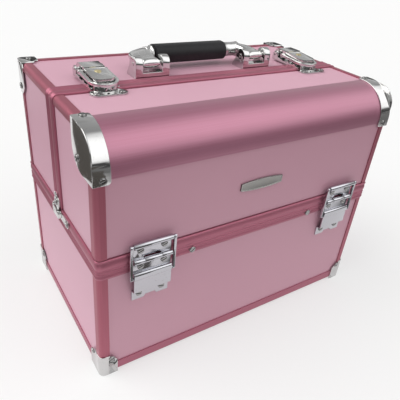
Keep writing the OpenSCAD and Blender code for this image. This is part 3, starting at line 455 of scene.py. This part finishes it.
def soften(name, finish, width, segments=2, corner=0, reshape=None):
    """Stands for a CAD node: a merged copy, its flat faces joined, its edges rounded by width mm.

    corner rounds the corners of its plates first, and reshape moves its points, in mm."""
    mesh = NODES[name].data.copy()
    mesh.name = "soft_" + name
    work = bmesh.new()
    work.from_mesh(mesh)
    bmesh.ops.remove_doubles(work, verts=work.verts, dist=0.003 * MM)
    bmesh.ops.dissolve_limit(work, angle_limit=math.radians(0.5), verts=work.verts,
                             edges=work.edges)
    if corner:
        round_plate_corners(work, corner)
    for face in work.faces:
        face.smooth = True
    work.to_mesh(mesh)
    work.free()
    if reshape:
        spots = np.empty(3 * len(mesh.vertices))
        mesh.vertices.foreach_get("co", spots)
        mesh.vertices.foreach_set("co", (reshape(spots.reshape(-1, 3) / MM) * MM).ravel())
        mesh.update()
    round_edges(stand_for(name, mesh, finish, "soft_"), width, segments)


def lean_forward(spots):
    """Lowers a closed latch towards its lip: z falls by a slope times the way past the bend."""
    ahead = np.maximum(0, LATCH_BEND_Y - spots[:, 1])
    low = np.minimum(spots[:, 2], LATCH_FLOOR_Z)
    return np.column_stack([spots[:, :2], np.maximum(spots[:, 2] - LATCH_SLOPE * ahead, low)])


def square_ends(spots):
    """Cuts the sleeve's round ends flat: x is held between its two trimmed ends."""
    low, high = spots[:, 0].min(), spots[:, 0].max()
    return np.column_stack([np.clip(spots[:, 0], low + GRIP_LEFT_TRIM, high - GRIP_TRIM),
                            spots[:, 1:]])


def sink_level(spots):
    """Lowers a key plug by the fall at its own axis, without a lean."""
    return spots - [0, 0, LATCH_SLOPE * max(0, LATCH_BEND_Y - spots[:, 1].mean())]


def lower_wall(spots):
    """Lowers a strike's wall with the bail: the fall grows from 0 at the plate to full on top.

    It is a tenth more than the bail's, which keeps the wall's lip off it."""
    top = spots[:, 2].max()
    share = np.clip((spots[:, 2] - STRIKE_FACE_Z) / (top - STRIKE_FACE_Z), 0, 1)
    fall = LATCH_SLOPE * (LATCH_BEND_Y - spots[:, 1]) * 1.1
    return np.column_stack([spots[:, :2], spots[:, 2] - share * fall])


def closed_shell(rings):
    """Points and faces of a closed skin over rings, an array of ring, point on it, and x y z."""
    count, around = rings.shape[:2]
    first = (np.arange(count - 1)[:, None] * around + np.arange(around)).ravel()
    following = (np.arange(count - 1)[:, None] * around + np.roll(np.arange(around), -1)).ravel()
    quads = np.stack([first, following, following + around, first + around], axis=1)
    ends = [list(range(around))[::-1], list(range((count - 1) * around, count * around))]
    return rings.reshape(-1, 3), quads.tolist() + ends


def join_shells(name, shells):
    """One mesh of several closed skins, in mm, smooth, its faces turned outwards."""
    points, faces, start = [], [], 0
    for spots, loops in shells:
        points.append(spots)
        faces += [[start + i for i in loop] for loop in loops]
        start += len(spots)
    mesh = bpy.data.meshes.new(name)
    mesh.from_pydata((np.concatenate(points) * MM).tolist(), [], faces)
    work = bmesh.new()
    work.from_mesh(mesh)
    bmesh.ops.recalc_face_normals(work, faces=work.faces)
    for face in work.faces:
        face.smooth = len(face.verts) == 4
    work.to_mesh(mesh)
    work.free()
    return mesh


def arm_rings():
    """Cast arm of the right side as rings across y.

    Each ring is a rounded square, |x/a|^3 + |z/b|^3 = 1, between inner and outer x and low and
    high z, whose upper half sinks towards the outside, by twice the tilt at its outer side. The
    values run smoothly from the knuckle, half a cylinder, to the broad elbow behind the grip's
    axis, which ends round."""
    behind = np.array([0.0, 5, 12, 20, 27, ELBOW_BEHIND])
    keys = {"inner": HANDLE_X - ARM_HALF + np.array([0.0, 0, -0.6, -2.5, -4.0, -4.0]),
            "outer": HANDLE_X + ARM_HALF + np.array([0.0, 0.0, 0.4, 1.0, 0.5, -1.0]),
            "low": HANDLE_Z + np.array([-5.0, -4.7, -5.6, -8.0, -8.4, -7.6]),
            "high": HANDLE_Z + np.array([5.0, 5.6, 8.0, 9.4, 9.4, 8.4]),
            "tilt": np.array([0.0, 0.3, 1.2, 2.2, 2.6, 2.2])}
    along = np.linspace(0, ELBOW_BEHIND, 25)
    smooth = {key: np.interp(along, behind, value) for key, value in keys.items()}
    for key, value in smooth.items():
        padded = np.concatenate([value[:1], value[:1], value, value[-1:], value[-1:]])
        smooth[key] = np.convolve(padded, np.array([1, 2, 3, 2, 1]) / 9, mode="valid")
    angle = np.linspace(0, 2 * np.pi, 49)[:-1]
    side, height = (np.sign(wave) * np.abs(wave) ** SUPER_POWER
                    for wave in (np.cos(angle), np.sin(angle)))

    def ring(y, inner, outer, low, high, tilt, shrink=1.0):
        half_x, half_z = (outer - inner) / 2, (high - low) / 2
        x = (outer + inner) / 2 + half_x * side * (0.35 + 0.65 * shrink)
        z = (high + low) / 2 + half_z * height * shrink
        z -= tilt * (1 + side) * (height > 0) * height
        return np.stack([x, np.full_like(x, y), z], axis=1)

    values = [[smooth[key][i] for key in ("inner", "outer", "low", "high", "tilt")]
              for i in range(len(along))]
    rings = []
    inner, outer, _, _, tilt = values[0]
    for turn in np.linspace(0.12, np.pi / 2, 7)[:-1]:
        ahead, rise = KNUCKLE_RADIUS * np.cos(turn), KNUCKLE_RADIUS * np.sin(turn)
        rings.append(ring(HANDLE_Y - ahead, inner, outer, HANDLE_Z - rise, HANDLE_Z + rise, tilt))
    rings += [ring(HANDLE_Y + y, *value) for y, value in zip(along, values)]
    for turn in np.linspace(0, np.pi / 2 - 0.15, 7)[1:]:
        rings.append(ring(HANDLE_Y + ELBOW_BEHIND + ELBOW_END * np.sin(turn), *values[-1],
                          shrink=np.cos(turn)))
    return np.array(rings)


def ferrule_rings(grip_end):
    """Collar and neck between grip and arm: radius over x, turned about the grip's axis."""
    inside = HANDLE_X - ARM_HALF - grip_end
    x = grip_end + np.array([0.0, 0.0, 0.5, 1.6, 2.1, 2.2, 2.8, 0.55 * inside, 0.8 * inside,
                             inside, inside + 3])
    radius = np.array([5.0, 8.6, 9.4, 9.4, 9.0, 7.8, 8.4, 7.9, 7.9, 8.2, 8.4])
    turn = np.linspace(0, 2 * np.pi, 41)[:-1]
    return np.stack([np.repeat(x[:, None], len(turn), axis=1),
                     GRIP_Y + radius[:, None] * np.cos(turn),
                     GRIP_Z + radius[:, None] * np.sin(turn)], axis=2)


def cast_handle_arms(finish):
    """Both arms with their ferrules; the sleeve sits off the middle, so the necks differ."""
    (low_x, _, _), (high_x, _, _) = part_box("handle_grip")
    mirror = np.array([-1, 1, 1])
    shells = [closed_shell(rings) for rings in (
        arm_rings(), arm_rings() * mirror,
        ferrule_rings(high_x / MM - GRIP_TRIM), ferrule_rings(-low_x / MM) * mirror)]
    stand_for("handle_arms", join_shells("cast_handle_arms", shells), finish, "cast_")


def set_stage(name, corners, faces, finish, seen_by_camera=False, seen_by_rest=False,
              seen_by_gloss=False):
    """A staged sheet, seen by the camera alone, by everything else alone, or by gloss alone."""
    mesh = bpy.data.meshes.new(name)
    mesh.from_pydata(corners, [], faces)
    mesh.materials.append(finish)
    sheet = bpy.data.objects.new(name, mesh)
    sheet.visible_camera = seen_by_camera
    sheet.visible_diffuse = sheet.visible_shadow = sheet.visible_transmission = seen_by_rest
    sheet.visible_glossy = seen_by_rest or seen_by_gloss
    bpy.context.scene.collection.objects.link(sheet)


def rectangle(x0, x1, y0, y1, z):
    return [(x0, y0, z), (x1, y0, z), (x1, y1, z), (x0, y1, z)]


def square(reach, z):
    return rectangle(-reach, reach, -reach, reach, z)


def lay_floor():
    """Pale floor for the camera, the paper under it that throws light back, two dark cards that
    only reflections see, and a pale backdrop: a cylinder's wall with a lid."""
    face = [(0, 1, 2, 3)]
    set_stage("floor", square(FLOOR_REACH, 0), face, floor_paper(), seen_by_camera=True)
    set_stage("bounce_floor", square(BOUNCE_REACH, -BOUNCE_DROP), face, bounce_paper(),
              seen_by_rest=True)
    card_behind = rectangle(-1.2, -0.27, 0.25, 0.72, CARD_RISE)
    card_ahead = [(x, y, CARD_RISE) for x, y in (
        (-0.17, -0.265), (-0.25, -1.4), (0.40, -1.4), (-0.07, -0.265))]
    set_stage("dark_card", card_behind + card_ahead, [(0, 1, 2, 3), (4, 5, 6, 7)], dark_card(),
              seen_by_gloss=True)
    turn = np.linspace(0, 2 * np.pi, BACKDROP_SIDES + 1)[:-1]
    ring = BACKDROP_RADIUS * np.stack([np.cos(turn), np.sin(turn)], axis=1)
    corners = [(x, y, z) for z in (BACKDROP_FOOT, BACKDROP_TOP) for x, y in ring.tolist()]
    count = BACKDROP_SIDES
    walls = [(i, (i + 1) % count, count + (i + 1) % count, count + i) for i in range(count)]
    lid = tuple(range(count, 2 * count))
    set_stage("backdrop", corners, walls + [lid], backdrop_paper(), seen_by_camera=True)


def light_dome():
    """World light by direction: a ramp over the height, and a wide soft lobe above the front
    right."""
    world = bpy.data.worlds.new("dome")
    world.use_nodes = True
    sky = Web(world.node_tree)
    way = sky.node("ShaderNodeTexCoord", out="Generated")
    _, _, height = sky.split(way)
    stops = [(spot, (level, level, level * SKY_BLUE, 1)) for spot, level in SKY_LEVELS]
    ramp = sky.node("ShaderNodeValToRGB", {"stops": stops}, {0: height})
    facing = sky.node("ShaderNodeVectorMath", {"operation": "DOT_PRODUCT"},
                      {0: way, 1: Vector(LOBE_FROM).normalized()}, out="Value")
    lobe = facing.between(math.cos(LOBE_EDGE), math.cos(LOBE_CORE)) * LOBE_LEVEL
    shine = sky.node("ShaderNodeBackground", {}, {"Color": ramp + lobe})
    sky.node("ShaderNodeOutputWorld", {}, {"Surface": shine}, out=None)
    bpy.context.scene.world = world


# ---- The scene ----

bpy.context.scene.view_settings.view_transform = "Standard"
place_camera()
place_key()
light_dome()
lay_floor()

dress(blush_skin(), "base_rear_panel", "base_side_panels", "front_lid_side_panels",
      "front_lid_top_panel", "rear_lid_back_panel", "rear_lid_side_panels", "rear_lid_top_panel")
# The front panels take a darker copy of the skin: painted shade on the faces turned away from the
# light.
dress(blush_skin("blush_front_painted_shade", 1.07), "base_front_panel", "front_lid_front_panel")
dress(rose_metal("rose_level", level_lines, 0.12, 0.38), "base_rim", "base_bottom_frame")
dress(rose_metal("rose_arch", arch_lines, 0.12, 0.42), "rear_lid_rim")
# The round profile's paler base colour is a painted highlight: the broad white sheen of its round
# face is put into its colour.
dress(rose_metal("rose_across", lines_along_x, 0.8, 0.38, 0.09), "front_lid_round_profile")
dress(rose_metal("rose_post", post_lines, 0.10, 0.42, -0.04), "base_corner_posts",
      "front_lid_edge_frame", "rear_lid_edge_frame")
dress(brushed_steel(), "arm_pivot_studs", "front_tray_studs", "rear_tray_studs",
      "front_tray_arms", "rear_tray_arms")
dress(moulded_black(), "front_lower_tray", "front_upper_tray", "rear_lower_tray",
      "rear_upper_tray")
dress(black_pile(), "base_lining")
dress(black_board(), "base_bottom_panel")

bright = nickel()
# The screws take a darker copy of the nickel: painted shade, for the shadow that they sit in.
screw_nickel_painted_shade = nickel("screw_nickel_painted_shade", 0.14, 0.34)
latch_nickel = nickel("latch_nickel", 0.13, 0.68)
leaf_nickel = nickel("leaf_nickel", 0.06, 0.53, 1.06)
brass = worn_brass()
for name in ("base_screws", "front_lid_screws", "rear_lid_screws"):
    soften(name, screw_nickel_painted_shade, 0.25)
for side in ("left", "right"):
    soften(side + "_latch_lever", latch_nickel, 0.8, 3, reshape=lean_forward)
    soften(side + "_latch_bail", latch_nickel, 1.1, 4, reshape=lean_forward)
    soften(side + "_key_plug", brass, 0.3, reshape=sink_level)
soften("latch_strikes", bright, 0.4, reshape=lower_wall)
cast_handle_arms(nickel("cast_nickel", 0.15, 0.68))
soften("handle_grip", grip_skin(), 1.2, 4, reshape=square_ends)
for name in ("base_corner_feet", "front_lid_corner_caps", "rear_lid_top_corners"):
    soften(name, bright, 0.5, 3, corner=3.2)
soften("front_lid_badge", badge_plate(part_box("front_lid_badge")[0][1]), 0.3)
for name in ("front_hinge_pins", "rear_hinge_pins", "latch_lever_pins", "handle_pins"):
    soften(name, bright, 0.25)
soften("base_side_catches", bright, 0.4)
for name in ("front_hinge_base_leaves", "rear_hinge_base_leaves", "front_hinge_lid_leaves",
             "rear_hinge_lid_leaves", "front_hinge_stays", "rear_hinge_stays"):
    soften(name, leaf_nickel, 0.4)
for name in ("latch_bases", "rear_lid_side_tongues"):
    soften(name, bright, 0.4)
soften("handle_brackets", bright, 0.7, 3)
